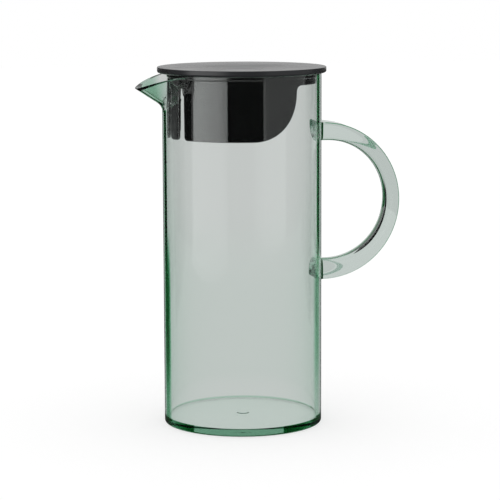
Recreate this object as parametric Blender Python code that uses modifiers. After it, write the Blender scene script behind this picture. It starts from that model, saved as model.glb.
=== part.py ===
"""Serving jug: a clear moulded vessel with a beak spout, a ring handle and a turning strainer lid.

Axes: +X towards the handle, -X towards the spout, +Z up. The origin is the centre of the base's
underside. Lengths are in metres, angles in degrees.
"""
import math

import bmesh
import bpy
import numpy as np

# Vessel
BODY_RADIUS = 0.0525
WALL = 0.0025
RIM_HEIGHT = 0.2330
BASE_THICKNESS = 0.0048
BASE_EDGE_RADIUS = 0.0012
FLOOR_CORNER_RADIUS = 0.0016
RIM_CHAMFER = 0.0003
GATE_MARK_RADIUS = 0.0043
GATE_MARK_HEIGHT = 0.0004
GATE_MARK_SLOPE_WIDTH = 0.0003

# Beak spout, whose keel leans out of the wall and whose rim dips to the tip
SPOUT_REACH = 0.0713
SPOUT_DROP = 0.0091
SPOUT_DIP_START = 0.0339
KEEL_ANGLE = 33.0
KEEL_BLEND_RADIUS = 0.0090
KEEL_THICKENING = 0.0008
NOSE_ANGLE = 11.5
SPOUT_SECTOR = 54.0

# Ring handle, thick at its roots and slim where the fingers close round it
HANDLE_OUTER_RADIUS = 0.0524
HANDLE_ROOT_THICKNESS = 0.0127
HANDLE_GRIP_THICKNESS = 0.0078
HANDLE_CENTRE_HEIGHT = 0.1477
HANDLE_WIDTH = 0.0230
HANDLE_EDGE_RADIUS = 0.0008
HANDLE_ROOT_OVERRUN = 0.0040
HANDLE_BELLY_POWER = 2.5

# Lid disc
DISC_OVERHANG = 0.0032
DISC_THICKNESS = 0.0038
DISC_TOP_EDGE_RADIUS = 0.0005
DISC_LOWER_EDGE_RADIUS = 0.0013
DISC_RIB_DEPTH = 0.0022
DISC_RIB_WIDTH = 0.0018

# Strainer skirt, which hangs from the disc inside the mouth
SKIRT_RUNNING_GAP = 0.0006
SKIRT_THICKNESS = 0.0016
SKIRT_DEPTH = 0.0421
SKIRT_EDGE_RADIUS = 0.0004
NECK_THICKNESS = 0.0023
NECK_INNER_DEPTH = 0.0043

# Soft seal ring in the groove round the skirt's neck
SEAL_HEIGHT = 0.0024
SEAL_THICKNESS = 0.0015
SEAL_EDGE_RADIUS = 0.0005

# How far the lid stands turned, in degrees: its comb a little off the spout, its arch a little off the handle
LID_TURN = -8.2

# Comb of pouring slots; each slot is wider at its foot by the taper on both sides
SLOT_COUNT = 5
SLOT_PITCH = 18.0
SLOT_WIDTH = 0.0051
SLOT_TOP_DEPTH = 0.0083
SLOT_TAPER = 0.0004
FINGER_CORNER_RADIUS = 0.0026

# Arch for free pouring, opposite the comb
ARCH_HALF_ANGLE = 48.2
ARCH_TOP_DEPTH = 0.0068
ARCH_CORNER_RADIUS = 0.0040
ARCH_FLARE_RADIUS = 0.0310

# Run-out of the slots' and the arch's flares past the skirt's foot
FLARE_RUN_OUT = 0.0001

# Clearances, the cutters' overrun and the distance under which points merge
SEAT_GAP = 0.0003
CUT_OVERRUN = 0.0020
MERGE_DISTANCE = 0.00001

# Fineness of the faces
SPOUT_STEP = 2.25
WALL_STEP = 6.0
SPOUT_LEVELS = 13
ARC_STEPS = 4
FLARE_STEPS = 12
HANDLE_STATIONS = 30
BELLY_STEPS = 12
TURN_STEPS = 84

INNER_RADIUS = BODY_RADIUS - WALL
TIP_HEIGHT = RIM_HEIGHT - SPOUT_DROP
LID_SEAT_HEIGHT = RIM_HEIGHT + SEAT_GAP
DISC_RADIUS = BODY_RADIUS + DISC_OVERHANG
HANDLE_INNER_RADIUS = HANDLE_OUTER_RADIUS - HANDLE_ROOT_THICKNESS
HANDLE_INNER_OFFSET = HANDLE_ROOT_THICKNESS - HANDLE_GRIP_THICKNESS
SKIRT_RADIUS = INNER_RADIUS - SKIRT_RUNNING_GAP


def arc(centre_x, centre_z, radius, start, end, steps=ARC_STEPS):
    """Points of an arc from the angle start to the angle end, counted from +X towards +Z."""
    angles = np.radians(np.linspace(start, end, steps + 1))
    return [(centre_x + radius * math.cos(a), centre_z + radius * math.sin(a)) for a in angles]


def plastic(name, colour, roughness, transmission=0.0, ior=1.5):
    """A Principled material of one colour."""
    material = bpy.data.materials.new(name)
    material.use_nodes = True
    shader = material.node_tree.nodes["Principled BSDF"]
    shader.inputs["Base Color"].default_value = (*colour, 1.0)
    shader.inputs["Roughness"].default_value = roughness
    shader.inputs["Metallic"].default_value = 0.0
    shader.inputs["Transmission Weight"].default_value = transmission
    shader.inputs["IOR"].default_value = ior
    material.diffuse_color = (*colour, 1.0)
    return material


def add_object(name, mesh, collection, material=None):
    """Puts a mesh into the collection as a smooth-shaded object with its own material."""
    obj = bpy.data.objects.new(name, mesh)
    collection.objects.link(obj)
    if material is not None:
        mesh.materials.append(material)
    mesh.shade_smooth()
    mesh.set_sharp_from_angle(angle=math.radians(35.0))
    return obj


def loft(name, rings):
    """A closed mesh through rings of equal count, with a flat cap on the first and the last."""
    form = bmesh.new()
    rows = [[form.verts.new(tuple(p)) for p in ring] for ring in rings]
    count = len(rows[0])
    for low, high in zip(rows, rows[1:]):
        for i in range(count):
            j = (i + 1) % count
            form.faces.new((low[i], low[j], high[j], high[i]))
    form.faces.new(list(reversed(rows[0])))
    form.faces.new(rows[-1])
    bmesh.ops.recalc_face_normals(form, faces=form.faces)
    mesh = bpy.data.meshes.new(name)
    form.to_mesh(mesh)
    form.free()
    return mesh


def turned(name, profile, collection, material, closed=False):
    """Turns a profile of (radius, height) points about Z with a Screw modifier."""
    edges = [(i, i + 1) for i in range(len(profile) - 1)]
    if closed:
        edges.append((len(profile) - 1, 0))
    mesh = bpy.data.meshes.new(name)
    mesh.from_pydata([(r, 0.0, z) for r, z in profile], edges, [])
    obj = bpy.data.objects.new(name, mesh)
    collection.objects.link(obj)
    mesh.materials.append(material)
    screw = obj.modifiers.new("turn", "SCREW")
    screw.axis = "Z"
    screw.steps = TURN_STEPS
    screw.render_steps = TURN_STEPS
    screw.use_merge_vertices = True
    screw.merge_threshold = MERGE_DISTANCE
    screw.use_smooth_shade = True
    return obj


def cut(obj, cutter):
    """Takes a cutter away from an object."""
    boolean = obj.modifiers.new("cut_" + cutter.name, "BOOLEAN")
    boolean.operation = "DIFFERENCE"
    boolean.solver = "EXACT"
    boolean.object = cutter


def make_cutter(name, mesh, collection):
    """A cutter that the viewport draws as wires and no render shows."""
    obj = bpy.data.objects.new(name, mesh)
    collection.objects.link(obj)
    obj.hide_render = True
    obj.display_type = "WIRE"
    return obj


# Vessel with its spout

def keel_radius(z):
    """Distance of the keel from the axis: the wall, then a hollow arc, then the leaning line."""
    lean = math.radians(KEEL_ANGLE)
    arc_x = BODY_RADIUS + KEEL_BLEND_RADIUS
    sideways = (arc_x - SPOUT_REACH) * math.sin(lean) - KEEL_BLEND_RADIUS
    arc_z = TIP_HEIGHT + sideways / math.cos(lean)
    line_start = arc_z + KEEL_BLEND_RADIUS * math.cos(lean)
    rise = np.clip(z - arc_z, 0.0, KEEL_BLEND_RADIUS)
    blend = arc_x - np.sqrt(KEEL_BLEND_RADIUS ** 2 - rise ** 2)
    line = SPOUT_REACH + (z - TIP_HEIGHT) / math.tan(lean)
    return np.where(z <= arc_z, BODY_RADIUS, np.where(z < line_start, blend, line))


def keel_root_height():
    """Height at which the keel leaves the wall."""
    lean = math.radians(KEEL_ANGLE)
    reach = BODY_RADIUS + KEEL_BLEND_RADIUS - SPOUT_REACH
    return TIP_HEIGHT + (reach * math.sin(lean) - KEEL_BLEND_RADIUS) / math.cos(lean)


def outer_radius(turn, z):
    """Outside of the wall at an angle from the spout's middle: two flat cheeks, tangent to the
    round wall, that meet in a rounded nose at the keel."""
    half_angle = np.arccos(np.clip(BODY_RADIUS / keel_radius(z), -1.0, 1.0))
    nose = math.radians(NOSE_ANGLE)
    full = np.sqrt(half_angle ** 2 + nose ** 2) - nose
    eased = (np.sqrt(turn ** 2 + nose ** 2) - nose) * half_angle / np.where(full > 0.0, full, 1.0)
    inside = (np.abs(turn) < half_angle) & (full > 0.0)
    return np.where(inside, BODY_RADIUS / np.cos(np.maximum(half_angle - eased, 0.0)), BODY_RADIUS)


def inner_radius(turn, z):
    """Inside of the wall, parallel to the outside and thickened along the keel."""
    return outer_radius(turn, z - KEEL_THICKENING) * INNER_RADIUS / BODY_RADIUS


def rim_height(turn):
    """Height of the rim, which dips in a parabola from the dip's start to the tip."""
    z = np.full_like(turn, TIP_HEIGHT)
    for _ in range(60):
        reach = outer_radius(turn, z) * np.cos(turn)
        along = np.maximum(reach - SPOUT_DIP_START, 0.0) / (SPOUT_REACH - SPOUT_DIP_START)
        z = (z + RIM_HEIGHT - SPOUT_DROP * along ** 2) / 2
    return z


def make_jug_body(collection, material):
    """The vessel: flat base, round wall, beak spout and a small gate mark on its floor."""
    near_spout = np.arange(-SPOUT_SECTOR, SPOUT_SECTOR + SPOUT_STEP / 2, SPOUT_STEP)
    round_wall = np.arange(SPOUT_SECTOR + WALL_STEP, 360.0 - SPOUT_SECTOR - WALL_STEP / 2, WALL_STEP)
    turn = np.radians(np.concatenate([near_spout, round_wall]))
    turn = np.where(turn > math.pi, turn - math.tau, turn)
    heading = math.pi + turn
    rim = rim_height(turn)
    root = keel_root_height()

    def ring(radius, z):
        radius, z = np.broadcast_arrays(radius, z, np.zeros_like(turn))[:2]
        return np.stack([radius * np.cos(heading), radius * np.sin(heading), z], 1)

    rings = []
    edge = BASE_EDGE_RADIUS
    for r, z in arc(BODY_RADIUS - edge, edge, edge, -90.0, 0.0):
        rings.append(ring(r, z))
    for share in np.linspace(0.0, 1.0, SPOUT_LEVELS):
        z = root + (rim - RIM_CHAMFER - root) * share
        rings.append(ring(outer_radius(turn, z), z))
    rings.append(ring(outer_radius(turn, rim) - RIM_CHAMFER, rim))
    rings.append(ring(inner_radius(turn, rim) + RIM_CHAMFER, rim))
    for share in np.linspace(1.0, 0.0, SPOUT_LEVELS):
        z = root + (rim - RIM_CHAMFER - root) * share
        rings.append(ring(inner_radius(turn, z), z))
    corner = FLOOR_CORNER_RADIUS
    floor_arc = arc(INNER_RADIUS - corner, BASE_THICKNESS + corner, corner, 0.0, -90.0)
    for r, z in floor_arc:
        rings.append(ring(r, z))
    rings.append(ring(GATE_MARK_RADIUS, BASE_THICKNESS))
    top_of_mark = BASE_THICKNESS + GATE_MARK_HEIGHT
    rings.append(ring(GATE_MARK_RADIUS - GATE_MARK_SLOPE_WIDTH, top_of_mark))
    return add_object("jug_body", loft("jug_body", rings), collection, material)


# Handle

def handle_section(inner, outer):
    """A ring of points from the handle's inner line to its outer line: a flat back with small
    round edges and a full belly towards the fingers."""
    inner, outer = np.array(inner), np.array(outer)
    depth = np.linalg.norm(outer - inner)
    out = (outer - inner) / depth
    half = HANDLE_WIDTH / 2
    edge = HANDLE_EDGE_RADIUS
    flat = arc(half - edge, -edge, edge, 90.0, 0.0)
    angles = np.radians(np.linspace(0.0, 180.0, BELLY_STEPS + 1))
    power = 2.0 / HANDLE_BELLY_POWER
    across = np.sign(np.cos(angles)) * np.abs(np.cos(angles)) ** power * half
    down = -edge - (depth - edge) * np.abs(np.sin(angles)) ** power
    belly = list(zip(across, down))[1:-1]
    points = flat + belly + [(-y, d) for y, d in reversed(flat)]
    return [(outer[0] + out[0] * d, y, outer[1] + out[1] * d) for y, d in points]


def make_handle(collection, cutters, material):
    """The handle: sections carried round two circles, the inner one further from the wall."""
    centre_z = HANDLE_CENTRE_HEIGHT
    inner_x = BODY_RADIUS + HANDLE_INNER_OFFSET
    root_x = BODY_RADIUS - HANDLE_ROOT_OVERRUN
    rings = []
    for angle in np.linspace(math.pi / 2, -math.pi / 2, HANDLE_STATIONS):
        c, s = math.cos(angle), math.sin(angle)
        inner = (inner_x + HANDLE_INNER_RADIUS * c, centre_z + HANDLE_INNER_RADIUS * s)
        outer = (BODY_RADIUS + HANDLE_OUTER_RADIUS * c, centre_z + HANDLE_OUTER_RADIUS * s)
        rings.append(handle_section(inner, outer))
    top = handle_section((root_x, centre_z + HANDLE_INNER_RADIUS),
                         (root_x, centre_z + HANDLE_OUTER_RADIUS))
    foot = handle_section((root_x, centre_z - HANDLE_INNER_RADIUS),
                          (root_x, centre_z - HANDLE_OUTER_RADIUS))
    handle = add_object("handle", loft("handle", [top, *rings, foot]), collection, material)

    saddle = bmesh.new()
    bmesh.ops.create_cone(saddle, cap_ends=True, segments=180, radius1=BODY_RADIUS + SEAT_GAP,
                          radius2=BODY_RADIUS + SEAT_GAP, depth=RIM_HEIGHT)
    bmesh.ops.translate(saddle, verts=saddle.verts, vec=(0.0, 0.0, RIM_HEIGHT / 2))
    mesh = bpy.data.meshes.new("wall_saddle")
    saddle.to_mesh(mesh)
    saddle.free()
    cut(handle, make_cutter("wall_saddle", mesh, cutters))
    return handle


# Lid, whose heights count from the disc's underside

def make_disc(collection, material):
    """The disc: flat top, small edge radii and a locating rib inside the skirt's neck."""
    top = DISC_THICKNESS
    upper, lower = DISC_TOP_EDGE_RADIUS, DISC_LOWER_EDGE_RADIUS
    rib_outer = SKIRT_RADIUS - SEAL_THICKNESS - NECK_THICKNESS - SEAT_GAP
    rib_inner = rib_outer - DISC_RIB_WIDTH
    profile = [(0.0, top)]
    profile += arc(DISC_RADIUS - upper, top - upper, upper, 90.0, 0.0)
    profile += arc(DISC_RADIUS - lower, lower, lower, 0.0, -90.0)
    profile += [(rib_outer, 0.0), (rib_outer, -DISC_RIB_DEPTH)]
    profile += [(rib_inner, -DISC_RIB_DEPTH), (rib_inner, 0.0), (0.0, 0.0)]
    return turned("lid_disc", profile, collection, material)


def wrapped_cutter(name, middle, along, top, collection):
    """A cutter bent round the skirt: columns at lengths along its outside, each from below the
    skirt's edge up to its own top height."""
    angles = math.radians(middle) + np.array(along) / SKIRT_RADIUS
    inside = SKIRT_RADIUS - SKIRT_THICKNESS - CUT_OVERRUN
    outside = SKIRT_RADIUS + CUT_OVERRUN
    floor = -SKIRT_DEPTH - CUT_OVERRUN
    rings = []
    for angle, z in zip(angles, top):
        c, s = math.cos(angle), math.sin(angle)
        rings.append([(inside * c, inside * s, floor), (outside * c, outside * s, floor),
                      (outside * c, outside * s, z), (inside * c, inside * s, z)])
    return make_cutter(name, loft(name, rings), collection)


def slot_outline():
    """Half of a slot from its middle outwards: round top, drafted side, round finger corner."""
    half = SLOT_WIDTH / 2
    corner = FINGER_CORNER_RADIUS
    foot = half + SLOT_TAPER
    crown = arc(0.0, -SLOT_TOP_DEPTH - half, half, 90.0, 0.0)
    flare = arc(foot + corner, -SKIRT_DEPTH + corner, corner, 180.0, 270.0)
    flare.append((foot + corner + CUT_OVERRUN, -SKIRT_DEPTH - FLARE_RUN_OUT))
    return crown + flare


def arch_outline():
    """Half of the arch from its middle outwards: level top, hollow corner, wide flare."""
    side = math.radians(ARCH_HALF_ANGLE) * SKIRT_RADIUS
    corner, flare = ARCH_CORNER_RADIUS, ARCH_FLARE_RADIUS
    level = side - corner
    points = [(level * i / FLARE_STEPS, -ARCH_TOP_DEPTH) for i in range(FLARE_STEPS)]
    points += arc(level, -ARCH_TOP_DEPTH - corner, corner, 90.0, 0.0)
    points += arc(side + FLARE_RUN_OUT + flare, -SKIRT_DEPTH + flare, flare, 180.0, 270.0, FLARE_STEPS)
    points.append((side + flare + CUT_OVERRUN, -SKIRT_DEPTH - FLARE_RUN_OUT))
    return points


def mirrored(half):
    """The whole outline from its right half, whose first point lies on the middle line."""
    return [(-x, z) for x, z in reversed(half[1:])] + half


def make_skirt(collection, cutters, material):
    """The strainer skirt: a turned ring with a stepped neck, cut by the comb and the arch."""
    edge = SKIRT_EDGE_RADIUS
    neck_outer = SKIRT_RADIUS - SEAL_THICKNESS
    neck_inner = neck_outer - NECK_THICKNESS
    neck_top = -SEAT_GAP
    shoulder = neck_top - SEAL_HEIGHT - SEAT_GAP
    inner = SKIRT_RADIUS - SKIRT_THICKNESS
    profile = [(neck_inner, neck_top), (neck_outer, neck_top), (neck_outer, shoulder)]
    profile += arc(SKIRT_RADIUS - edge, shoulder - edge, edge, 90.0, 0.0, 2)
    profile += arc(SKIRT_RADIUS - edge, -SKIRT_DEPTH + edge, edge, 0.0, -90.0, 2)
    profile += arc(inner + edge, -SKIRT_DEPTH + edge, edge, -90.0, -180.0, 2)
    profile += [(inner, -NECK_INNER_DEPTH), (neck_inner, -NECK_INNER_DEPTH)]
    skirt = turned("strainer_skirt", profile, collection, material, closed=True)

    slot = mirrored(slot_outline())
    for i in range(SLOT_COUNT):
        middle = 180.0 + LID_TURN + (i - (SLOT_COUNT - 1) / 2) * SLOT_PITCH
        along, top = zip(*slot)
        cut(skirt, wrapped_cutter(f"comb_slot_{i + 1}", middle, along, top, cutters))
    along, top = zip(*mirrored(arch_outline()))
    cut(skirt, wrapped_cutter("pouring_arch", LID_TURN, along, top, cutters))
    return skirt


def make_seal(collection, material):
    """The soft ring between the skirt's neck and the mouth."""
    outer = INNER_RADIUS - SEAT_GAP
    inner = SKIRT_RADIUS - SEAL_THICKNESS + SEAT_GAP
    top = -SEAT_GAP
    foot = top - SEAL_HEIGHT
    edge = SEAL_EDGE_RADIUS
    profile = [(inner, top)]
    profile += arc(outer - edge, top - edge, edge, 90.0, 0.0, 2)
    profile += arc(outer - edge, foot + edge, edge, 0.0, -90.0, 2)
    profile.append((inner, foot))
    return turned("seal_ring", profile, collection, material, closed=True)


def main():
    for obj in list(bpy.data.objects):
        bpy.data.objects.remove(obj, do_unlink=True)
    parts = bpy.data.collections.new("serving_jug")
    cutters = bpy.data.collections.new("cutters")
    bpy.context.scene.collection.children.link(parts)
    bpy.context.scene.collection.children.link(cutters)

    clear_green = (0.66, 0.82, 0.75)
    make_jug_body(parts, plastic("clear_green_vessel", clear_green, 0.03, 1.0, 1.57))
    make_handle(parts, cutters, plastic("clear_green_handle", clear_green, 0.03, 1.0, 1.57))

    lid_axis = bpy.data.objects.new("lid_axis", None)
    lid_axis.location = (0.0, 0.0, LID_SEAT_HEIGHT)
    parts.objects.link(lid_axis)
    lid_pieces = [
        make_disc(parts, plastic("satin_black", (0.030, 0.031, 0.033), 0.38)),
        make_skirt(parts, cutters, plastic("gloss_black", (0.006, 0.007, 0.007), 0.06)),
        make_seal(parts, plastic("soft_black", (0.012, 0.012, 0.012), 0.60)),
    ]
    for piece in [*lid_pieces, *cutters.objects]:
        if piece.name != "wall_saddle":
            piece.parent = lid_axis
    bpy.context.view_layer.update()


main()
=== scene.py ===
# Serving jug: a clear green moulded jug with a ring handle, and a black strainer lid that turns in its mouth.
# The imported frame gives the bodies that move. Every visible piece below is a surface worked out with numpy.
import math

import bmesh
import bpy
import numpy as np
from mathutils import Matrix


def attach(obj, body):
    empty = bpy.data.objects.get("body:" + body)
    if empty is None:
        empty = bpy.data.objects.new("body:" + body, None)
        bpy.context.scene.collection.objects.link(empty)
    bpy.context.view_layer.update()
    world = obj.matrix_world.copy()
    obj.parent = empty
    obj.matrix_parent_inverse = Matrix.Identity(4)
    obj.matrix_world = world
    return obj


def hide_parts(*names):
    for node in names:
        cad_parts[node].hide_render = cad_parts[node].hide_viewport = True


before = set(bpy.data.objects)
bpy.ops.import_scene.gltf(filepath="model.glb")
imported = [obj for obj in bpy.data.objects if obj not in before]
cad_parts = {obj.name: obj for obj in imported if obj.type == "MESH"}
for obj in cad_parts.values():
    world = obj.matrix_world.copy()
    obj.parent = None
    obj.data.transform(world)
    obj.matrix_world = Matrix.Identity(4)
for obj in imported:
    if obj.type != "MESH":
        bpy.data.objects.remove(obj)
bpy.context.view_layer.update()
print("frame loaded:", sorted(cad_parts))

mm = 0.001

# The camera stands 11.5 degrees off the jug's own front, so that the handle points right and away.
camera = {
    "distance": 1414.40 * mm,
    "height": 320.43 * mm,
    "focalLength": 154.63,   # in mm, on a sensor of this width
    "sensorWidth": 36.0,
    "clip": (0.05, 50.0),
    "sideways": 5.06 * mm,   # how far the lens stands right of the jug's axis
    "jugTurn": 11.5,
    "lookDown": 8.262,
    "roll": -0.20,
}


def makeCamera(settings):
    data = bpy.data.cameras.new("productCamera")
    data.lens = settings["focalLength"]
    data.sensor_width = settings["sensorWidth"]
    data.clip_start, data.clip_end = settings["clip"]
    obj = bpy.data.objects.new("productCamera", data)
    bpy.context.scene.collection.objects.link(obj)
    turn = Matrix.Rotation(math.radians(-settings["jugTurn"]), 4, "Z")
    place = turn @ Matrix.Translation((settings["sideways"], -settings["distance"], settings["height"]))
    tilt = Matrix.Rotation(math.radians(90.0 - settings["lookDown"]), 4, "X")
    roll = Matrix.Rotation(math.radians(settings["roll"]), 4, "Z")
    obj.matrix_world = place @ tilt @ roll
    bpy.context.scene.camera = obj


makeCamera(camera)
print("camera placed")


def addNode(tree, kind, inputs=None, **settings):
    # A node with its properties and the values of its sockets.
    node = tree.nodes.new(kind)
    for key, value in settings.items():
        setattr(node, key, value)
    for key, value in (inputs or {}).items():
        node.inputs[key].default_value = value
    return node


def doMath(tree, operation, first, second=None):
    # first and second are numbers or sockets.
    node = addNode(tree, "ShaderNodeMath", operation=operation)
    for socket, value in zip(node.inputs, (first, second)):
        if isinstance(value, (int, float)):
            socket.default_value = value
        elif value is not None:
            tree.links.new(value, socket)
    return node.outputs[0]


def ramp(tree, value, fromLow, fromHigh, toLow=0.0, toHigh=1.0):
    # An eased step: toLow up to fromLow, toHigh from fromHigh on.
    node = addNode(tree, "ShaderNodeMapRange", interpolation_type="SMOOTHSTEP", clamp=True)
    tree.links.new(value, node.inputs["Value"])
    limits = {"From Min": fromLow, "From Max": fromHigh, "To Min": toLow, "To Max": toHigh}
    for key, number in limits.items():
        node.inputs[key].default_value = number
    return node.outputs[0]


# The studio round the jug. Plain surfaces get even light; the clear plastic and the gloss black see a pale
# backdrop, a pale table and these upright cards, which the camera and the dull surfaces don't see.
studio = {
    "backdrop": 0.69,
    "table": 0.62,             # seen through the plastic
    "tableMirrored": 0.06,
    "plainLight": 1.0,
    "tableGlow": 0.60,
    "tableColour": 0.43,
    "tableHalf": 4.0,
    "floorGap": 0.3 * mm,      # air under the jug, so that its underside still mirrors
}
# Foot points are (right, back) from the jug's axis as the camera looks. A card shows at "level", and only
# after a reflection. What else a card can say:
#   "shades": how the level runs from its left end to its right one, as (place, share) pairs
#   "inside": its level for light that was reflected within one thickness of plastic
#   "fade": (low, high, extra), how much lighter its lower part is for that light
#   "mirrored": its level in the outer face of the plastic
cards = {
    "leftFlag": {"foot": ((-0.160, 0.280), (-0.24, 0.26)), "height": (0.0, 0.45), "level": 0.01,
                 "fade": (0.07, 0.19, 0.6)},
    "rightFlag": {"foot": ((0.172, 0.250), (0.203, 0.248)), "height": (0.0, 0.45), "level": 0.01,
                  "fade": (0.07, 0.19, 0.6)},
    "leftBack": {"foot": ((-0.27, 0.28), (-0.90, 0.31)), "height": (0.0, 0.9), "level": 0.06,
                 "inside": 0.12, "mirrored": 0.01, "fade": (0.10, 0.23, 0.35)},
    "rightBack": {"foot": ((0.24, 0.26), (0.80, 0.20)), "height": (0.0, 0.9), "level": 0.03,
                  "fade": (0.10, 0.23, 0.33)},
    "leftSide": {"foot": ((-0.90, 0.30), (-0.80, -0.24)), "height": (0.0, 0.9), "level": 0.02},
    "leftSoftbox": {"foot": ((-0.75, -0.20), (-0.26, -0.70)), "height": (0.0, 0.9), "level": 1.70,
                    "shades": ((0.0, 0.90), (0.3, 1.0), (0.65, 0.86), (1.0, 0.58))},
    "front": {"foot": ((-0.28, -0.75), (0.463, -0.75)), "height": (-0.1, 1.2), "level": 0.01,
              "inside": 0.16},
    "rightSoftbox": {"foot": ((0.463, -0.76), (0.75, 0.16)), "height": (0.0, 0.9), "level": 0.50,
                     "shades": ((0.0, 1.0), (0.15, 0.62), (1.0, 0.48))},
}


def isShiny(tree, rays):
    # 1 for light that a shiny or clear surface sends on.
    return doMath(tree, "MAXIMUM", rays.outputs["Is Glossy Ray"], rays.outputs["Is Transmission Ray"])


def makeWorld(settings):
    world = bpy.data.worlds.new("studio")
    bpy.context.scene.world = world
    world.use_nodes = True
    world.cycles.sampling_method = "NONE"
    tree = world.node_tree
    tree.nodes.clear()
    shiny = isShiny(tree, addNode(tree, "ShaderNodeLightPath"))
    plain = doMath(tree, "MULTIPLY", doMath(tree, "SUBTRACT", 1.0, shiny), settings["plainLight"])
    level = doMath(tree, "ADD", doMath(tree, "MULTIPLY", shiny, settings["backdrop"]), plain)
    light = addNode(tree, "ShaderNodeBackground", {"Color": (1.0, 1.0, 1.0, 1.0)})
    tree.links.new(level, light.inputs["Strength"])
    out = addNode(tree, "ShaderNodeOutputWorld")
    tree.links.new(light.outputs[0], out.inputs["Surface"])


def makeSheet(name, corners):
    # A flat sheet of four corners with an empty material of its own.
    mesh = bpy.data.meshes.new(name)
    mesh.from_pydata(corners, [], [(0, 1, 2, 3)])
    obj = bpy.data.objects.new(name, mesh)
    bpy.context.scene.collection.objects.link(obj)
    material = bpy.data.materials.new(name)
    material.use_nodes = True
    material.node_tree.nodes.clear()
    material.cycles.emission_sampling = "NONE"
    mesh.materials.append(material)
    return obj, material.node_tree


def finishSheet(tree, share, first, second):
    # Mixes the two shaders by the share and sends them out.
    pick = addNode(tree, "ShaderNodeMixShader")
    for value, socket in zip((share, first.outputs[0], second.outputs[0]), pick.inputs):
        tree.links.new(value, socket)
    out = addNode(tree, "ShaderNodeOutputMaterial")
    tree.links.new(pick.outputs[0], out.inputs["Surface"])


def shadeCard(tree, along, shades):
    # The card's shades, eased from one (place, share) pair to the next.
    shade = addNode(tree, "ShaderNodeValToRGB")
    shade.color_ramp.interpolation = "EASE"
    spots = shade.color_ramp.elements
    spots[1].position = shades[1][0]
    for position, _ in shades[2:]:
        spots.new(position)
    for spot, (position, share) in zip(spots, shades):
        spot.position, spot.color = position, (share, share, share, 1.0)
    tree.links.new(along, shade.inputs[0])
    return shade.outputs[0]


def makeCard(name, card, turn):
    spin = np.array([[math.cos(turn), -math.sin(turn)], [math.sin(turn), math.cos(turn)]])
    (x0, y0), (x1, y1) = np.array(card["foot"]) @ spin
    low, high = card["height"]
    obj, tree = makeSheet(name, [(x0, y0, low), (x1, y1, low), (x1, y1, high), (x0, y0, high)])
    rays = addNode(tree, "ShaderNodeLightPath").outputs
    # two clear surfaces crossed means inside one thickness of plastic
    inside = doMath(tree, "COMPARE", rays["Transmission Depth"], 2.0)
    # light that is trapped in the plastic for longer than one reflection sees the backdrop instead
    trapped = doMath(tree, "MULTIPLY", doMath(tree, "GREATER_THAN", rays["Transmission Depth"], 1.5),
                     doMath(tree, "GREATER_THAN", rays["Glossy Depth"], 1.5))
    shows = doMath(tree, "SUBTRACT", doMath(tree, "GREATER_THAN", rays["Glossy Depth"], 0.5), trapped)
    place = addNode(tree, "ShaderNodeSeparateXYZ")
    tree.links.new(addNode(tree, "ShaderNodeTexCoord").outputs["Generated"], place.inputs[0])
    level = card["level"]
    if "shades" in card:
        level = doMath(tree, "MULTIPLY", shadeCard(tree, place.outputs[0], card["shades"]), level)
    if "fade" in card:
        start, end, extra = card["fade"]
        extra = ramp(tree, place.outputs[2], start, end, extra, 0.0)
        level = doMath(tree, "ADD", doMath(tree, "MULTIPLY", extra, inside), level)
    if "mirrored" in card:
        first = doMath(tree, "COMPARE", rays["Transmission Depth"], 0.0)
        darker = doMath(tree, "MULTIPLY", first, card["level"] - card["mirrored"])
        level = doMath(tree, "SUBTRACT", level, darker)
    if "inside" in card:
        level = doMath(tree, "MAXIMUM", doMath(tree, "MULTIPLY", inside, card["inside"]), level)
    glow = addNode(tree, "ShaderNodeEmission")
    if isinstance(level, float):
        glow.inputs["Strength"].default_value = level
    else:
        tree.links.new(level, glow.inputs["Strength"])
    finishSheet(tree, shows, addNode(tree, "ShaderNodeBsdfTransparent"), glow)
    obj.visible_camera = obj.visible_diffuse = obj.visible_shadow = False


def makeFloor(settings):
    half, low = settings["tableHalf"], -settings["floorGap"]
    corners = [(-half, -half, low), (half, -half, low), (half, half, low), (-half, half, low)]
    floor, tree = makeSheet("floor", corners)
    # a dull white that keeps the shadow for the camera, and a plain level for rays from the shiny surfaces
    dull = addNode(tree, "ShaderNodeBsdfDiffuse", {"Color": (*[settings["tableColour"]] * 3, 1.0)})
    glow = addNode(tree, "ShaderNodeEmission")
    rays = addNode(tree, "ShaderNodeLightPath")
    tree.links.new(doMath(tree, "MULTIPLY", rays.outputs["Is Camera Ray"], settings["tableGlow"]),
                   glow.inputs["Strength"])
    both = addNode(tree, "ShaderNodeAddShader")
    tree.links.new(dull.outputs[0], both.inputs[0])
    tree.links.new(glow.outputs[0], both.inputs[1])
    even = addNode(tree, "ShaderNodeEmission")
    tree.links.new(ramp(tree, rays.outputs["Is Transmission Ray"], 0.0, 1.0, settings["tableMirrored"],
                        settings["table"]), even.inputs["Strength"])
    finishSheet(tree, isShiny(tree, rays), both, even)


makeWorld(studio)
for name, card in cards.items():
    makeCard(name, card, math.radians(camera["jugTurn"]))
makeFloor(studio)
print("studio and floor made")


def startMaterial(name, inputs):
    # A plain shader with the given values, and the sockets of its Object coordinates.
    material = bpy.data.materials.new(name)
    material.use_nodes = True
    tree = material.node_tree
    shader = tree.nodes["Principled BSDF"]
    for key, value in inputs.items():
        shader.inputs[key].default_value = value
    place = addNode(tree, "ShaderNodeTexCoord")
    return material, tree, shader, place.outputs["Object"]


def addNoise(tree, where, scale, detail=2.0, roughness=0.5):
    noise = addNode(tree, "ShaderNodeTexNoise", {"Scale": scale, "Detail": detail, "Roughness": roughness})
    tree.links.new(where, noise.inputs["Vector"])
    return noise.outputs["Fac"]


def addBump(tree, height, distance):
    bump = addNode(tree, "ShaderNodeBump", {"Strength": 1.0, "Distance": distance})
    tree.links.new(height, bump.inputs["Height"])
    return bump.outputs["Normal"]


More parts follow.
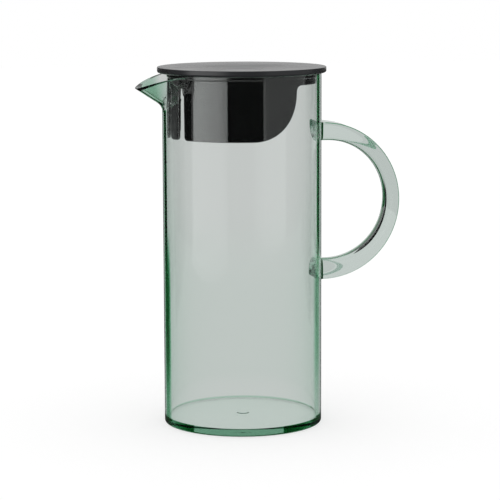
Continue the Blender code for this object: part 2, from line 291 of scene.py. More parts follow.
clearLook = {
    "ior": 1.57,
    "reflection": 0.2,
    "haze": (0.000, 0.005),        # roughness, from the clearest to the haziest places
    "hazeSpread": (0.35, 0.75),
    "hazeScale": 30.0,
    "hazeDetail": 1.0,
    "absorbColour": (0.25, 0.54, 0.41),
    "absorbDensity": 13.0,         # per metre
    "flowScale": 14.0,             # broad flow marks of the moulding
    "flowDepth": 0.02 * mm,
}
# The green on the plastic's faces: the plastic's own tint, with painted shade for the darker, greener places
# that refraction
# and long paths in the plastic give: at grazing angles, in bands where the wall is seen edge on, round the
# thick base, along the handle's bond and along one outer edge of the handle. "unit" is what one unit of it
# leaves of the light, and the rest says how many units each place adds. A place is a (start, end) pair, over
# which the green sets in: distances from the jug's axis, heights, or x towards the handle, or else shares of
# facing, from 0 square on to 1 edge on.
greenAndPaintedShade = {
    "unit": (0.368, 0.657, 0.485),
    "outside": (51.0 * mm, 51.4 * mm),      # distance at which a face is the outer one
    "vessel": (53.0 * mm, 52.6 * mm),       # and at which it isn't the handle's
    "face": 0.025,
    "faceLower": 0.036,                     # added on the vessel's lower half
    "lowerHalf": (150 * mm, 85 * mm),
    "aboveBase": (10 * mm, 25 * mm),
    "side": (0.42, 2.2),                    # painted shade: units at a grazing angle, and the power of the facing share
    "sidePaler": 0.6,                       # how much weaker that is at the top of the vessel
    "palerHeight": (120 * mm, 190 * mm),
    "spout": 0.5,
    "spoutAt": (-50 * mm, -58 * mm),
    "edge": 10.0,                           # painted dark bands where the wall is seen edge on
    "edgeHeight": (90 * mm, 135 * mm),      # between the lower and the upper band
    "edgeUpper": (0.665, 0.715),
    "edgeLower": (0.57, 0.69),
    "edgeOuter": (0.72, 0.82),              # where it ends again, at the outline
    "edgeLean": 0.013,                      # how much nearer the middle the bands stand on the handle's side
    "leanAcross": (-30 * mm, 20 * mm),
    "footShare": 0.35,                      # what is left of the lower band at its foot
    "footHeight": (15 * mm, 60 * mm),
    "handleShare": 0.24,                    # and on the handle's side
    "handleAcross": (-30 * mm, 30 * mm),
    "baseHeight": (5.6 * mm, 5.0 * mm),
    "baseAll": 0.72,                        # painted shade everywhere on the thick base's side
    "base": (9.0, 0.8),                     # more painted shade added round it, from where the band sets in to the outline
    "baseFacing": (0.20, 0.215),
    "baseFade": (0.25, 0.60),
    "baseLean": 0.0375,
    "bond": 14.0,                           # a painted dark line where the handle meets the wall
    "bondRing": ((52.6 * mm, 52.7 * mm), (53.8 * mm, 53.5 * mm)),
    "bondAt": (44 * mm, 46 * mm),
    "outline": 3.6,                         # a painted dark line along one outer edge of the handle
    "outlineCentre": (52.5 * mm, 147.7 * mm),
    "outlineRing": (51.6 * mm, 52.0 * mm),
    "outlineEdge": (-10.4 * mm, -10.8 * mm),
    "outlineAt": (53 * mm, 55 * mm),
    "outlineHeight": (95 * mm, 125 * mm),
}


def makeClear(settings, green):
    material, tree, shader, where = startMaterial("clearGreenPlastic", {
        "IOR": settings["ior"], "Transmission Weight": 1.0,
        "Specular Tint": (*[settings["reflection"]] * 3, 1.0)})
    clouds = addNoise(tree, where, settings["hazeScale"], settings["hazeDetail"])
    tree.links.new(ramp(tree, clouds, *settings["hazeSpread"], *settings["haze"]), shader.inputs["Roughness"])
    flow = addBump(tree, addNoise(tree, where, settings["flowScale"]), settings["flowDepth"])
    tree.links.new(flow, shader.inputs["Normal"])
    # the base colour carries the plastic's green tint and painted shade
    tree.links.new(greenAndPaintedShadeOf(tree, where, green), shader.inputs["Base Color"])
    inside = addNode(tree, "ShaderNodeVolumeAbsorption", {"Color": (*settings["absorbColour"], 1.0),
                                                          "Density": settings["absorbDensity"]})
    tree.links.new(inside.outputs[0], tree.nodes["Material Output"].inputs["Volume"])
    return material


def greenAndPaintedShadeOf(tree, where, green):
    # The colour of a face, the plastic's tint with painted shade: unit to the power of the sum of all units
    # there.
    def times(first, *others):
        for other in others:
            first = doMath(tree, "MULTIPLY", first, other)
        return first

    def plus(first, *others):
        for other in others:
            first = doMath(tree, "ADD", first, other)
        return first

    def less(first, second):
        return doMath(tree, "SUBTRACT", first, second)

    def at(value, band, *levels):
        return ramp(tree, value, *band, *levels)

    split = addNode(tree, "ShaderNodeSeparateXYZ")
    tree.links.new(where, split.inputs[0])
    x, y, z = split.outputs
    radius = doMath(tree, "SQRT", plus(times(x, x), times(y, y)))
    outside, vessel = at(radius, green["outside"]), at(radius, green["vessel"])
    facing = addNode(tree, "ShaderNodeLayerWeight", {"Blend": 0.5}).outputs["Facing"]

    def lean(amount):
        return plus(facing, at(x, green["leanAcross"], -amount, amount))

    lowerFace = times(at(z, green["lowerHalf"]), at(z, green["aboveBase"]), vessel, green["faceLower"])
    paler = less(1.0, times(at(z, green["palerHeight"], 0.0, green["sidePaler"]), vessel))
    # painted shade at grazing angles, weaker at the top of the vessel
    share, power = green["side"]
    side = times(doMath(tree, "POWER", facing, power), share, paler)
    spoutTint = times(at(x, green["spoutAt"]), green["spout"])

    # painted dark bands on both sides where the wall is seen edge on, above the thick base
    edgeOn, baseHeight = lean(green["edgeLean"]), at(z, green["baseHeight"])
    upper = times(at(edgeOn, green["edgeUpper"]), at(z, green["edgeHeight"]))
    lower = times(at(edgeOn, green["edgeLower"]), at(z, green["edgeHeight"][::-1]),
                  at(z, green["footHeight"], green["footShare"], 1.0),
                  at(x, green["handleAcross"], 1.0, green["handleShare"]))
    edge = times(plus(upper, lower), outside, green["edge"], at(edgeOn, green["edgeOuter"], 1.0, 0.0),
                 less(1.0, baseHeight))
    # painted shade round the thick base
    base = times(at(lean(green["baseLean"]), green["baseFacing"]),
                 at(facing, green["baseFade"], *green["base"]))
    base = times(plus(base, green["baseAll"]), outside, baseHeight)

    # painted dark line at the handle's bond with the wall
    inner, outer = green["bondRing"]
    bond = times(at(radius, inner), at(radius, outer), at(x, green["bondAt"]), green["bond"])
    # painted dark line along the handle's outer edge
    centreX, centreZ = green["outlineCentre"]
    awayX, awayZ = less(x, centreX), less(z, centreZ)
    ring = doMath(tree, "SQRT", plus(times(awayX, awayX), times(awayZ, awayZ)))
    outline = times(at(ring, green["outlineRing"]), at(y, green["outlineEdge"]), at(x, green["outlineAt"]),
                    at(z, green["outlineHeight"]), green["outline"])

    units = plus(side, outline, green["face"], lowerFace, spoutTint, edge, base, bond)
    colour = addNode(tree, "ShaderNodeCombineColor")
    for socket, left in zip(colour.inputs, green["unit"]):
        tree.links.new(doMath(tree, "POWER", left, units), socket)
    return colour.outputs[0]


# Soft patches of wear, the same on all three blacks, run between the two roughnesses of each.
patches = {"scale": 45.0, "detail": 4.0, "roughness": 0.6, "spread": (0.3, 0.7)}
satinLook = {
    "colour": (0.030, 0.031, 0.033),
    "roughness": (0.21, 0.26),
    "reliefScale": 2600.0,       # fine grain of the satin finish
    "reliefDepth": 0.03 * mm,
    "middle": 0.07,              # how much rougher the middle of the disc is
    "middleReach": (10 * mm, 52 * mm),
}
glossLook = {
    "colour": (0.005, 0.006, 0.006),
    "roughness": (0.02, 0.06),
    "reliefScale": 220.0,        # slight orange peel of the mould
    "reliefDepth": 0.01 * mm,
    "specular": 1.0,
    "coat": 1.0,
}
softLook = {
    "colour": (0.010, 0.010, 0.010),
    "roughness": (0.14, 0.20),
    "reliefScale": 900.0,
    "reliefDepth": 0.01 * mm,
    "specular": 1.0,
    "coat": 0.6,
}


def makeBlack(name, settings):
    material, tree, shader, where = startMaterial(name, {
        "Base Color": (*settings["colour"], 1.0), "IOR": 1.5, "Roughness": settings["roughness"][0],
        "Specular IOR Level": settings.get("specular", 0.5), "Coat Weight": settings.get("coat", 0.0)})
    clouds = addNoise(tree, where, patches["scale"], patches["detail"], patches["roughness"])
    wear = ramp(tree, clouds, *patches["spread"], *settings["roughness"])
    if "middle" in settings:
        # distance from the jug's axis
        apart = addNode(tree, "ShaderNodeVectorMath", operation="MULTIPLY")
        apart.inputs[1].default_value = (1.0, 1.0, 0.0)
        tree.links.new(where, apart.inputs[0])
        reach = addNode(tree, "ShaderNodeVectorMath", operation="LENGTH")
        tree.links.new(apart.outputs[0], reach.inputs[0])
        rougher = ramp(tree, reach.outputs["Value"], *settings["middleReach"], settings["middle"], 0.0)
        wear = doMath(tree, "ADD", wear, rougher)
    tree.links.new(wear, shader.inputs["Roughness"])
    relief = addBump(tree, addNoise(tree, where, settings["reliefScale"]), settings["reliefDepth"])
    tree.links.new(relief, shader.inputs["Normal"])
    return material


clearPlastic = makeClear(clearLook, greenAndPaintedShade)
satinBlack = makeBlack("satinBlack", satinLook)
glossBlack = makeBlack("glossBlack", glossLook)
softBlack = makeBlack("softBlack", softLook)
print("materials made")


def gridFaces(rows, columns, start=0):
    # Quads between neighbouring rows and columns of a grid of points; the columns close into a ring.
    i, j = np.meshgrid(np.arange(rows - 1), np.arange(columns), indexing="ij")
    k = (j + 1) % columns
    quads = np.stack([i * columns + j, i * columns + k, (i + 1) * columns + k, (i + 1) * columns + j], -1)
    return quads.reshape(-1, 4) + start


mergeGap = 0.002 * mm      # points nearer than this are one
shortest = 0.0005 * mm     # edges below this go


def makePiece(name, points, quads, material, body, nodes, sharp=None):
    # Puts points and quads into a mesh, merges what coincides, turns the faces outwards and shades it smooth.
    mesh = bpy.data.meshes.new(name)
    mesh.from_pydata(points.tolist(), [], quads.tolist())
    form = bmesh.new()
    form.from_mesh(mesh)
    bmesh.ops.remove_doubles(form, verts=form.verts, dist=mergeGap)
    bmesh.ops.dissolve_degenerate(form, edges=form.edges, dist=shortest)
    bmesh.ops.recalc_face_normals(form, faces=form.faces)
    form.to_mesh(mesh)
    form.free()
    mesh.materials.append(material)
    mesh.shade_smooth()
    if sharp is not None:
        mesh.set_sharp_from_angle(angle=math.radians(sharp))
    obj = bpy.data.objects.new(name, mesh)
    bpy.context.scene.collection.objects.link(obj)
    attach(obj, body)
    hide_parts(*nodes)
    print(name, "made:", len(mesh.vertices), "points")


def around(radius, angle, z):
    # Points about the axis: x = radius cos angle, y = radius sin angle.
    return np.stack([radius * np.cos(angle), radius * np.sin(angle), z], -1)


def arc(centreX, centreZ, radius, start, end, steps):
    # Points of a circle's arc, with the angle counted from +X towards +Z.
    angle = np.radians(np.linspace(start, end, steps + 1))
    return np.stack([centreX + radius * np.cos(angle), centreZ + radius * np.sin(angle)], 1)


def turnProfile(profile, steps):
    # Every profile point (radius, height) goes round the axis in even steps.
    angle = np.linspace(0.0, math.tau, steps, endpoint=False)
    radius, z = np.asarray(profile).T[:, :, None]
    return around(radius, angle, np.repeat(z, steps, 1)).reshape(-1, 3)


# The clear jug: vessel, spout and handle are one mesh.
jug = {
    "radius": 52.5 * mm,
    "wall": 2.2 * mm,          # at the rim
    "draft": 1.0 * mm,         # how much thicker the wall is at the floor
    "height": 233.0 * mm,
    "base": 4.8 * mm,
    "baseEdge": 1.2 * mm,
    "floorCorner": 0.25 * mm,
    "rimRound": 0.12,          # share of the wall that each rounded rim edge takes
    "gateRadius": 4.3 * mm,
    "gateHeight": 0.4 * mm,
    "gateSlope": 0.8 * mm,
    "columns": 360,
    "wallRings": (10, 13),     # rings of the plain wall, outside below each root and inside
    "spoutRings": (51, 43),    # of the spout's part, outside and inside
    "rimRings": 17,
    "floorRings": (35 * mm, 20 * mm, 8 * mm),
    "underRings": 5,
    "edgeSteps": 8,            # round the base edge and the floor's corner
    "beside": 0.03 * mm,       # a narrow ring beside each rounded edge keeps the plain face's shading level
    "besideRimShare": 0.998,   # the same under the rim, as a share of the spout's part
    "markShare": 0.3,          # a ring on the gate mark
}
spout = {
    "reach": 71.3 * mm,
    "drop": 9.1 * mm,
    "dipStart": 33.9 * mm,
    "lean": 33.0,
    "blend": 9.0 * mm,
    "thickening": 0.8 * mm,
    "nose": 11.5,
    "rounds": 60,              # of averaging, which settle the rim's height
}
handle = {
    "outer": 52.3 * mm,
    "rootThickness": 12.7 * mm,
    "gripThickness": 7.8 * mm,
    "middle": 147.7 * mm,
    "width": 23.0 * mm,
    "edge": 0.9 * mm,
    "belly": 2.5,
    "fillet": 0.6 * mm,
    "edgePoints": 6,           # of the section, round each of its edges
    "stations": 96,
    "besideRootShare": 0.0003, # a narrow ring beside each root
    "window": (16, 22),        # columns each side of the handle, and rows, that a root's patch spans
    "windowHeight": 18.5 * mm,
    "filletRings": 10,
    "patchRings": 9,
    "besideFilletShare": 0.01, # a narrow ring at the fillet's foot
    "search": 0.6,             # radians either side of a quarter turn in which a root is looked for
    "halvings": 50,
}


def keelRadius(z):
    # Distance of the keel from the axis: the wall, then a hollow arc, then the leaning line.
    lean = math.radians(spout["lean"])
    tip = jug["height"] - spout["drop"]
    arcX = jug["radius"] + spout["blend"]
    arcZ = tip + ((arcX - spout["reach"]) * math.sin(lean) - spout["blend"]) / math.cos(lean)
    rise = np.clip(z - arcZ, 0.0, spout["blend"])
    bend = arcX - np.sqrt(spout["blend"] ** 2 - rise ** 2)
    line = spout["reach"] + (z - tip) / math.tan(lean)
    hollow = z < arcZ + spout["blend"] * math.cos(lean)
    return np.where(z <= arcZ, jug["radius"], np.where(hollow, bend, line))


def outerRadius(turn, z):
    # Two flat cheeks tangent to the round wall: R / cos(half - eased), where half = arccos(R / keel) and
    # eased = turn, rounded near the keel by the square root of turn squared plus nose squared.
    half = np.arccos(np.clip(jug["radius"] / keelRadius(z), -1.0, 1.0))
    nose = math.radians(spout["nose"])
    full = np.sqrt(half ** 2 + nose ** 2) - nose
    eased = (np.sqrt(turn ** 2 + nose ** 2) - nose) * half / np.where(full > 0.0, full, 1.0)
    inside = (np.abs(turn) < half) & (full > 0.0)
    return np.where(inside, jug["radius"] / np.cos(np.maximum(half - eased, 0.0)), jug["radius"])


def wallAt(z):
    # The core's draft: the wall gets thicker towards the floor by an even slope.
    return jug["wall"] + jug["draft"] * (1.0 - z / jug["height"])


def innerRadius(turn, z):
    # The outside, a little lower, scaled in plan to the inside of the wall.
    return outerRadius(turn, z - spout["thickening"]) * (1.0 - wallAt(z) / jug["radius"])


def rimHeight(turn):
    # height - drop * share squared, where share runs from 0 at the dip's start to 1 at the tip.
    z = np.full_like(turn, jug["height"] - spout["drop"])
    for _ in range(spout["rounds"]):
        reach = outerRadius(turn, z) * np.cos(turn)
        share = np.maximum(reach - spout["dipStart"], 0.0) / (spout["reach"] - spout["dipStart"])
        z = (z + jug["height"] - spout["drop"] * share ** 2) / 2
    return z


def handleSection(depth):
    # Offsets (across, down) of the section's points, given its depth: a flat back, two round edges and a
    # superellipse belly, with as many points as the border of a root's patch.
    side, rows = handle["window"]
    count = 2 * (2 * side + rows)
    half, edge, bendCount = handle["width"] / 2, handle["edge"], handle["edgePoints"]
    flat = np.linspace(0.0, half - edge, side - 2)
    bend = np.radians(np.linspace(90.0, 0.0, bendCount + 1))[1:]
    power = 2.0 / handle["belly"]
    rest = count // 2 - (side - 3) - bendCount
    sweep = np.linspace(0.0, math.pi / 2, rest + 1)[1:]
    across = np.concatenate([flat, half - edge + edge * np.cos(bend), half * np.cos(sweep).clip(0) ** power])
    downEdge = np.concatenate([np.zeros(side - 2), edge - edge * np.sin(bend), np.full(rest, edge)])
    share = np.concatenate([np.zeros(side - 2 + bendCount), np.sin(sweep) ** power])
    down = downEdge + np.multiply.outer(depth - edge, share)
    across = np.broadcast_to(across, down.shape)
    # mirror to the other side, leaving out the two middle points
    across = np.concatenate([across, -across[..., -2:0:-1]], -1)
    return across, np.concatenate([down, down[..., -2:0:-1]], -1)


def handlePoints(angle):
    # One ring of points per row of angle. The outer circle is centred on the wall line and the inner one
    # further out; past a quarter turn both run straight on into the wall.
    turn = np.clip(angle, -math.pi / 2, math.pi / 2)
    over = np.abs(angle) - math.pi / 2
    c = np.where(over > 0.0, -over, np.cos(turn))
    s = np.sin(turn)
    inner = handle["outer"] - handle["rootThickness"]
    offset = handle["rootThickness"] - handle["gripThickness"]
    outX, outZ = jug["radius"] + handle["outer"] * c, handle["middle"] + handle["outer"] * s
    inX, inZ = jug["radius"] + offset + inner * c, handle["middle"] + inner * s
    depth = np.hypot(outX - inX, outZ - inZ)
    return outX, outZ, (outX - inX) / depth, (outZ - inZ) / depth, depth


def handleSurface(angle):
    # angle is an array of (rings, points of a ring); each point is the back's line minus its own depth.
    outX, outZ, dirX, dirZ, depth = handlePoints(angle)
    across, down = handleSection(depth[:, 0])
    # each point of a ring may stand at its own angle, so the part below the edge takes its own depth
    edgeDown = np.minimum(down, handle["edge"])
    share = (down - edgeDown) / (depth[:, :1] - handle["edge"])
    down = edgeDown + share * (depth - handle["edge"])
    return np.stack([outX - dirX * down, across, outZ - dirZ * down], -1)


def rootAngle(sign, count):
    # The angle at which each line along the handle meets the cylinder one fillet radius outside the wall,
    # found by halving the interval.
    target = jug["radius"] + handle["fillet"]
    low = np.full(count, math.pi / 2 - handle["search"])
    high = np.full(count, math.pi / 2 + handle["search"])
    for _ in range(handle["halvings"]):
        middle = (low + high) / 2
        point = handleSurface(sign * middle[None, :])[0]
        outside = np.hypot(point[:, 0], point[:, 1]) > target
        low, high = np.where(outside, middle, low), np.where(outside, high, middle)
    return sign * low


jugStep = math.tau / jug["columns"]
jugTurn = np.arange(jug["columns"]) * jugStep                   # 0 is the handle's side
fromSpout = np.angle(np.exp(1j * (jugTurn - math.pi)))


def jugRing(radius, z):
    # Points round the jug's axis; radius and z may change from point to point.
    return around(radius, jugTurn, np.broadcast_to(z, jugTurn.shape))


def rootHeight(sign):
    # Height of the middle of the upper root, sign 1, or the lower one, sign -1.
    inner = handle["outer"] - handle["rootThickness"]
    return handle["middle"] + sign * (handle["outer"] + inner) / 2


def outsideRings(top):
    # Base edge, plain wall with the rows of both root patches, then the spout's part up to the rim at top.
    # Also gives the ring on which each patch starts, and the height at which the spout's part does.
    edge, beside, radius = jug["baseEdge"], jug["beside"], jug["radius"]
    rows, plain, tall = handle["window"][1], jug["wallRings"][0], handle["windowHeight"] / 2
    rings = [jugRing(r, z) for r, z in arc(radius - edge, edge, edge, -90, 0, jug["edgeSteps"])]
    rings.append(jugRing(radius, edge + beside))
    marks = [edge + beside] + [rootHeight(sign) + half for sign in (-1, 1) for half in (-tall, tall)]
    counts = [plain, rows, plain, rows]
    starts = [len(rings) - 1 + counts[0], len(rings) - 1 + sum(counts[:3])]
    for low, high, count in zip(marks, marks[1:], counts):
        rings += [jugRing(radius, z) for z in np.linspace(low, high, count + 1)[1:]]
    for share in (*np.linspace(0.0, 1.0, jug["spoutRings"][0])[1:-1], jug["besideRimShare"], 1.0):
        z = marks[-1] + (top - marks[-1]) * share
        rings.append(jugRing(outerRadius(fromSpout, z), z))
    return rings, starts, marks[-1]


def rimRings(rim, drop):
    # Across the wall from outside to inside, rounded over at both edges.
    outer, inner = outerRadius(fromSpout, rim - drop), innerRadius(fromSpout, rim - drop)
    rings = []
    for w in 0.5 + 0.5 * np.cos(np.linspace(0.0, math.pi, jug["rimRings"]))[1:-1]:
        over = max(abs(2 * w - 1) - (1 - 2 * jug["rimRound"]), 0.0) / (2 * jug["rimRound"])
        rings.append(jugRing(inner + (outer - inner) * w, rim - drop * (1 - math.sqrt(1 - over ** 2))))
    return rings


def insideRings(top, spoutStart):
    # From the rim down the inner wall, round the floor's corner and over the gate mark to the middle.
    corner, beside, floor = jug["floorCorner"], jug["beside"], jug["base"]
    rings = []
    for share in (1.0, jug["besideRimShare"], *np.linspace(1.0, 0.0, jug["spoutRings"][1])[1:]):
        z = spoutStart + (top - spoutStart) * share
        rings.append(jugRing(innerRadius(fromSpout, z), z))
    bottom = floor + corner
    plain = np.linspace(spoutStart, bottom, jug["wallRings"][1])[1:-1]
    rings += [jugRing(jug["radius"] - wallAt(z), z) for z in (*plain, bottom + beside, bottom)]
    reach = jug["radius"] - wallAt(bottom) - corner
    rings += [jugRing(r, z) for r, z in arc(reach, bottom, corner, 0, -90, jug["edgeSteps"])[1:]]
    gate = jug["gateRadius"]
    rings += [jugRing(r, floor) for r in (reach - beside, *jug["floorRings"], gate + beside, gate)]
    mark, level = gate - jug["gateSlope"], floor + jug["gateHeight"]
    rings += [jugRing(r, level) for r in (mark, mark - beside, mark * jug["markShare"], 0.0)]
    return rings


def rootSheet(border, sign):
    # The fillet round a root and the patch of wall about it, as one grid that starts at the handle's border.
    side, rows = handle["window"]
    fillet, radius, tall = handle["fillet"], jug["radius"], handle["windowHeight"] / 2
    y, z = border[:, 1], border[:, 2]
    alongY, alongZ = np.roll(y, -1) - np.roll(y, 1), np.roll(z, -1) - np.roll(z, 1)
    length = np.hypot(alongY, alongZ)
    outY, outZ = sign * alongZ / length, -sign * alongY / length
    outY, outZ = (outY, outZ) if (outY * y).sum() > 0 else (-outY, -outZ)
    # fillet: out along the wall by f (1 - cos t), down to the wall by f (1 - sin t)
    t = np.linspace(0.0, math.pi / 2, handle["filletRings"])[:, None]
    newY, newZ = y + outY * fillet * (1 - np.cos(t)), z + outZ * fillet * (1 - np.cos(t))
    collar = np.stack([np.sqrt((radius + fillet * (1 - np.sin(t))) ** 2 - newY ** 2), newY, newZ], -1)
    # patch: from the fillet's foot on the wall to the border of the window, straight in angle and height
    footTurn, footZ = np.arcsin(newY[-1] / radius), newZ[-1]
    walk = np.concatenate([np.stack([np.arange(0, side), np.zeros(side)], 1),
                           np.stack([np.full(rows, side), np.arange(0, rows)], 1),
                           np.stack([np.arange(side, -side, -1), np.full(2 * side, rows)], 1),
                           np.stack([np.full(rows, -side), np.arange(rows, 0, -1)], 1),
                           np.stack([np.arange(-side, 0), np.zeros(side)], 1)])
    edgeTurn = walk[:, 0] * jugStep
    edgeZ = rootHeight(sign) + sign * (tall - walk[:, 1] * 2 * tall / rows)
    even = np.linspace(0.0, 1.0, handle["patchRings"])[1:]
    w = np.array([0.0, handle["besideFilletShare"], *even])[:, None]
    turn, height = footTurn + (edgeTurn - footTurn) * w, footZ + (edgeZ - footZ) * w
    return np.concatenate([collar, around(radius, turn, height)[1:]])


def makeJug():
    columns, (side, rows) = jug["columns"], handle["window"]
    rim, drop = rimHeight(fromSpout), jug["wall"] * jug["rimRound"]
    rings, starts, spoutStart = outsideRings(rim - drop)
    rings += rimRings(rim, drop) + insideRings(rim - drop, spoutStart)
    quads = gridFaces(len(rings), columns)
    # cut both root patches out of the wall
    keep = np.ones((len(rings) - 1, columns), bool)
    for start in starts:
        keep[np.ix_(np.arange(start, start + rows), np.arange(-side, side) % columns)] = False
    # underside: rings from the middle out to the base edge
    edge = jug["radius"] - jug["baseEdge"]
    under = [jugRing(r, 0.0) for r in (*np.linspace(0.0, edge - jug["beside"], jug["underRings"]), edge)]
    points = [*rings, *under]
    quads = [quads[keep.ravel()], gridFaces(len(under), columns, len(rings) * columns)]
    # handle: lines from root to root, each starting where it meets the cylinder outside the wall
    count = 2 * (2 * side + rows)
    top, foot = rootAngle(1, count), rootAngle(-1, count)
    near, even = handle["besideRootShare"], np.linspace(0.0, 1.0, handle["stations"])[1:-1]
    share = np.array([0.0, near, *even, 1.0 - near, 1.0])[:, None]
    tube = handleSurface(top + (foot - top) * share)
    start = len(points) * columns
    for grid in (tube, rootSheet(tube[0], 1), rootSheet(tube[-1], -1)):
        quads.append(gridFaces(len(grid), count, start))
        points.append(grid.reshape(-1, 3))
        start += len(points[-1])
    points, quads = np.concatenate(points), np.concatenate(quads)
    makePiece("clearJug", points, quads, clearPlastic, "jug", ["jug_body", "handle"])


makeJug()


# The lid: disc, strainer skirt and seal ring. Their heights are counted from the disc's underside.
lid = {
    "seat": 233.3 * mm,        # height of the disc's underside
    "turn": -8.2,              # the comb stands a little off the spout
    "discRadius": 55.7 * mm,
    "discThickness": 3.8 * mm,
    "topEdge": 0.5 * mm,
    "lowerEdge": 1.3 * mm,
    "ribOuter": 45.3 * mm,
    "ribWidth": 1.8 * mm,
    "ribDepth": 2.2 * mm,
    "ribEdge": 0.4 * mm,
    "ribRoot": 0.2 * mm,
    "topRings": (0.0, 15 * mm, 30 * mm, 45 * mm, 52 * mm),
    "underRing": 22 * mm,
    "edgeSteps": (8, 10, 4),   # round the top edge, the lower edge and each of the rib's
    "steps": 256,
    "sharp": 40.0,             # edges with a larger angle stay sharp
}
skirt = {
    "radius": 49.4 * mm,
    "thickness": 1.6 * mm,
    "depth": 42.1 * mm,
    "edge": 0.35 * mm,
    "neckOuter": 47.9 * mm,
    "neckInner": 45.6 * mm,
    "neckDepth": 4.3 * mm,
    "shoulder": 3.0 * mm,
    "gap": 0.3 * mm,
    "slots": 5,
    "pitch": 18.0,
    "slotTop": 5.1 * mm,       # width of a slot just under its round top
    "slotFoot": 5.9 * mm,      # width at the fingers' ends
    "slotStart": 8.3 * mm,     # depth of the top of a slot below the disc
    "fingerRound": 2.6 * mm,
    "archHalf": 48.2,
    "archTop": 6.8 * mm,
    "archCorner": 4.0 * mm,
    "archFlare": 31.0 * mm,
    "archStep": 0.05 * mm,     # between the corner and the flare
    "longest": 0.8 * mm,       # step along a straight lower edge
    "slotSteps": (12, 10),     # round half a slot's top and round a finger's corner
    "archSteps": (24, 10, 30), # along half the arch's top, round its corner and round its flare
    "shoulderSteps": 4,
    "faceRings": (9, 7),       # of the outside and of the inside
    "besideShares": (0.01, 0.995),     # narrow rings just under the shoulder and just above the lower edge
    "edgeAngles": (30, 60, 90),        # of the rings round a lower edge
}
seal = {
    "height": 2.4 * mm,
    "outer": 49.7 * mm,
    "inner": 48.2 * mm,
    "edge": 0.5 * mm,
    "edgeSteps": 5,
    "drop": 0.3 * mm,
}


def makeDisc():
    # The profile runs from the middle of the top round both edges and the rib to the middle of the underside.
    top, upper, lower = lid["discThickness"], lid["topEdge"], lid["lowerEdge"]
    upperSteps, lowerSteps, ribSteps = lid["edgeSteps"]
    radius, outer, inner = lid["discRadius"], lid["ribOuter"], lid["ribOuter"] - lid["ribWidth"]
    edge, root, foot = lid["ribEdge"], lid["ribRoot"], -lid["ribDepth"] + lid["ribEdge"]
    profile = [(r, top) for r in lid["topRings"]]
    profile += arc(radius - upper, top - upper, upper, 90, 0, upperSteps).tolist()
    profile += arc(radius - lower, lower, lower, 0, -90, lowerSteps).tolist()
    profile += [(outer + root, 0.0), (outer, -root)]
    profile += arc(outer - edge, foot, edge, 0, -90, ribSteps).tolist()
    profile += arc(inner + edge, foot, edge, -90, -180, ribSteps).tolist()
    profile += [(inner, -root), (inner - root, 0.0), (lid["underRing"], 0.0), (0.0, 0.0)]
    points = turnProfile(np.array(profile) + (0.0, lid["seat"]), lid["steps"])
    quads = gridFaces(len(profile), lid["steps"])
    makePiece("lidDisc", points, quads, satinBlack, "lid", ["lid_disc"], lid["sharp"])


def makeSeal():
    # The profile goes once round the ring's section: two round edges outside, two sharp ones in the groove.
    low, high = -seal["drop"] - seal["height"], -seal["drop"]
    edge, outer, steps = seal["edge"], seal["outer"], seal["edgeSteps"]
    profile = [(seal["inner"], high)]
    profile += arc(outer - edge, high - edge, edge, 90, 0, steps).tolist()
    profile += arc(outer - edge, low + edge, edge, 0, -90, steps).tolist()
    profile += [(seal["inner"], low), (seal["inner"], high)]
    points = turnProfile(np.array(profile) + (0.0, lid["seat"]), lid["steps"])
    quads = gridFaces(len(profile), lid["steps"])
    makePiece("sealRing", points, quads, softBlack, "seal", ["seal_ring"], lid["sharp"])


def slotSide():
    # Half of a slot from its middle outwards, as (along, depth): round top, straight drafted side, and the
    # finger's round corner.
    half, foot, corner = skirt["slotTop"] / 2, skirt["slotFoot"] / 2, skirt["fingerRound"]
    crownSteps, cornerSteps = skirt["slotSteps"]
    crown = arc(0.0, -skirt["slotStart"] - half, half, 90, 0, crownSteps)
    flare = arc(foot + corner, -skirt["depth"] + corner, corner, 180, 270, cornerSteps)
    return np.concatenate([crown, flare])


def archSide():
    # Half of the arch from its middle outwards: level top, hollow corner, then the wide flare.
    side = math.radians(skirt["archHalf"]) * skirt["radius"]
    corner, flare = skirt["archCorner"], skirt["archFlare"]
    levelSteps, cornerSteps, flareSteps = skirt["archSteps"]
    along = np.linspace(0.0, side - corner, levelSteps)[:-1]
    level = np.stack([along, np.full_like(along, -skirt["archTop"])], 1)
    hollow = arc(side - corner, -skirt["archTop"] - corner, corner, 90, 0, cornerSteps)
    wide = arc(side + skirt["archStep"] + flare, -skirt["depth"] + flare, flare, 180, 270, flareSteps)
    return np.concatenate([level, hollow, wide])


def skirtOutline():
    # The skirt's lower edge all the way round, as (along, depth), from the middle of the arch.
    full = math.tau * skirt["radius"]
    arch, slot = archSide(), slotSide()
    wholeSlot = np.concatenate([slot[:0:-1] * (-1, 1), slot])
    parts = [arch]
    for i in range(skirt["slots"]):
        angle = math.pi + math.radians((i - (skirt["slots"] - 1) / 2) * skirt["pitch"])
        parts.append(wholeSlot + (angle * skirt["radius"], 0.0))
    parts.append(arch[:0:-1] * (-1, 1) + (full, 0.0))
    filled = [parts[0]]
    for part in parts[1:]:
        a, b = filled[-1][-1], part[0]
        count = max(int((b[0] - a[0]) / skirt["longest"]), 2)
        along = np.linspace(a[0], b[0], count + 1)[1:-1]
        filled += [np.stack([along, np.full_like(along, -skirt["depth"])], 1), part]
    return np.concatenate(filled)


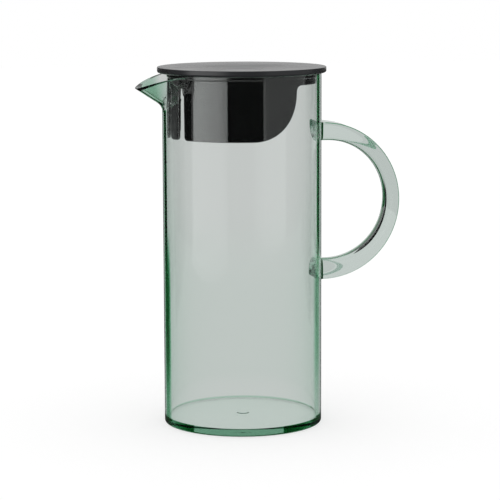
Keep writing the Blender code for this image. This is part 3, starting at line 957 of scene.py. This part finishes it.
def makeSkirt():
    # The profile of neck, shoulder and wall goes round the axis, and its lower edge follows the outline.
    along, depth = skirtOutline().T
    # the outline's normals in the developed sheet, into the material, draw the rounded edges
    full = math.tau * skirt["radius"]
    nextAlong, lastAlong = np.roll(along, -1), np.roll(along, 1)
    nextAlong[-1] += full
    lastAlong[0] -= full
    runA, runZ = nextAlong - lastAlong, np.roll(depth, -1) - np.roll(depth, 1)
    length = np.hypot(runA, runZ)
    intoA, intoZ = -runZ / length, runA / length
    edge, outer, inner = skirt["edge"], skirt["radius"], skirt["radius"] - skirt["thickness"]
    shoulder, gap, neck = -skirt["shoulder"], -skirt["gap"], -skirt["neckDepth"]
    shoulderArc = arc(outer - edge, shoulder - edge, edge, 90, 0, skirt["shoulderSteps"])
    straight = along / outer

    def row(radius, shift):
        return around(radius, (along + intoA * shift) / outer, depth + intoZ * shift)

    # neck and shoulder: plain rings
    rings = [(skirt["neckInner"], neck), (skirt["neckInner"], gap), (skirt["neckOuter"], gap),
             (skirt["neckOuter"], shoulder), *shoulderArc.tolist()]
    rows = [around(r, straight, np.full_like(straight, z)) for r, z in rings]
    # outside face: from the shoulder down to the outline, in even shares
    high, low = rows[-1][:, 2], row(outer, edge)[:, 2]
    under, above = skirt["besideShares"]
    for share in (under, *np.linspace(0.0, 1.0, skirt["faceRings"][0])[1:-1], above, 1.0):
        rows.append(around(outer, straight + intoA * edge / outer * share, high + (low - high) * share))
    # rounded lower edges
    for t in np.radians(skirt["edgeAngles"]):
        rows.append(row(outer - edge * (1 - np.cos(t)), edge * (1 - np.sin(t))))
    for t in np.radians((*skirt["edgeAngles"][::-1], 0)):
        rows.append(row(inner + edge * (1 - np.cos(t)), edge * (1 - np.sin(t))))
    # inside face: back up to the neck
    low = rows[-1][:, 2]
    for share in np.linspace(0.0, 1.0, skirt["faceRings"][1])[1:]:
        rows.append(around(inner, straight + intoA * edge / outer * (1 - share), low + (neck - low) * share))
    rows.append(rows[0])
    points = np.concatenate(rows) + (0.0, 0.0, lid["seat"])
    turn = math.radians(lid["turn"])
    c, s = math.cos(turn), math.sin(turn)
    points = points @ np.array([[c, s, 0.0], [-s, c, 0.0], [0.0, 0.0, 1.0]])
    quads = gridFaces(len(rows), len(along))
    makePiece("strainerSkirt", points, quads, glossBlack, "lid", ["strainer_skirt"],
              lid["sharp"])


makeDisc()
makeSkirt()
makeSeal()

bpy.context.scene.view_settings.view_transform = "Standard"
bounces = 64      # light that goes round in the clear plastic would turn black with fewer
bpy.context.scene.cycles.max_bounces = bounces
bpy.context.scene.cycles.transmission_bounces = bounces
bpy.context.scene.cycles.glossy_bounces = bounces

print("all pieces made")
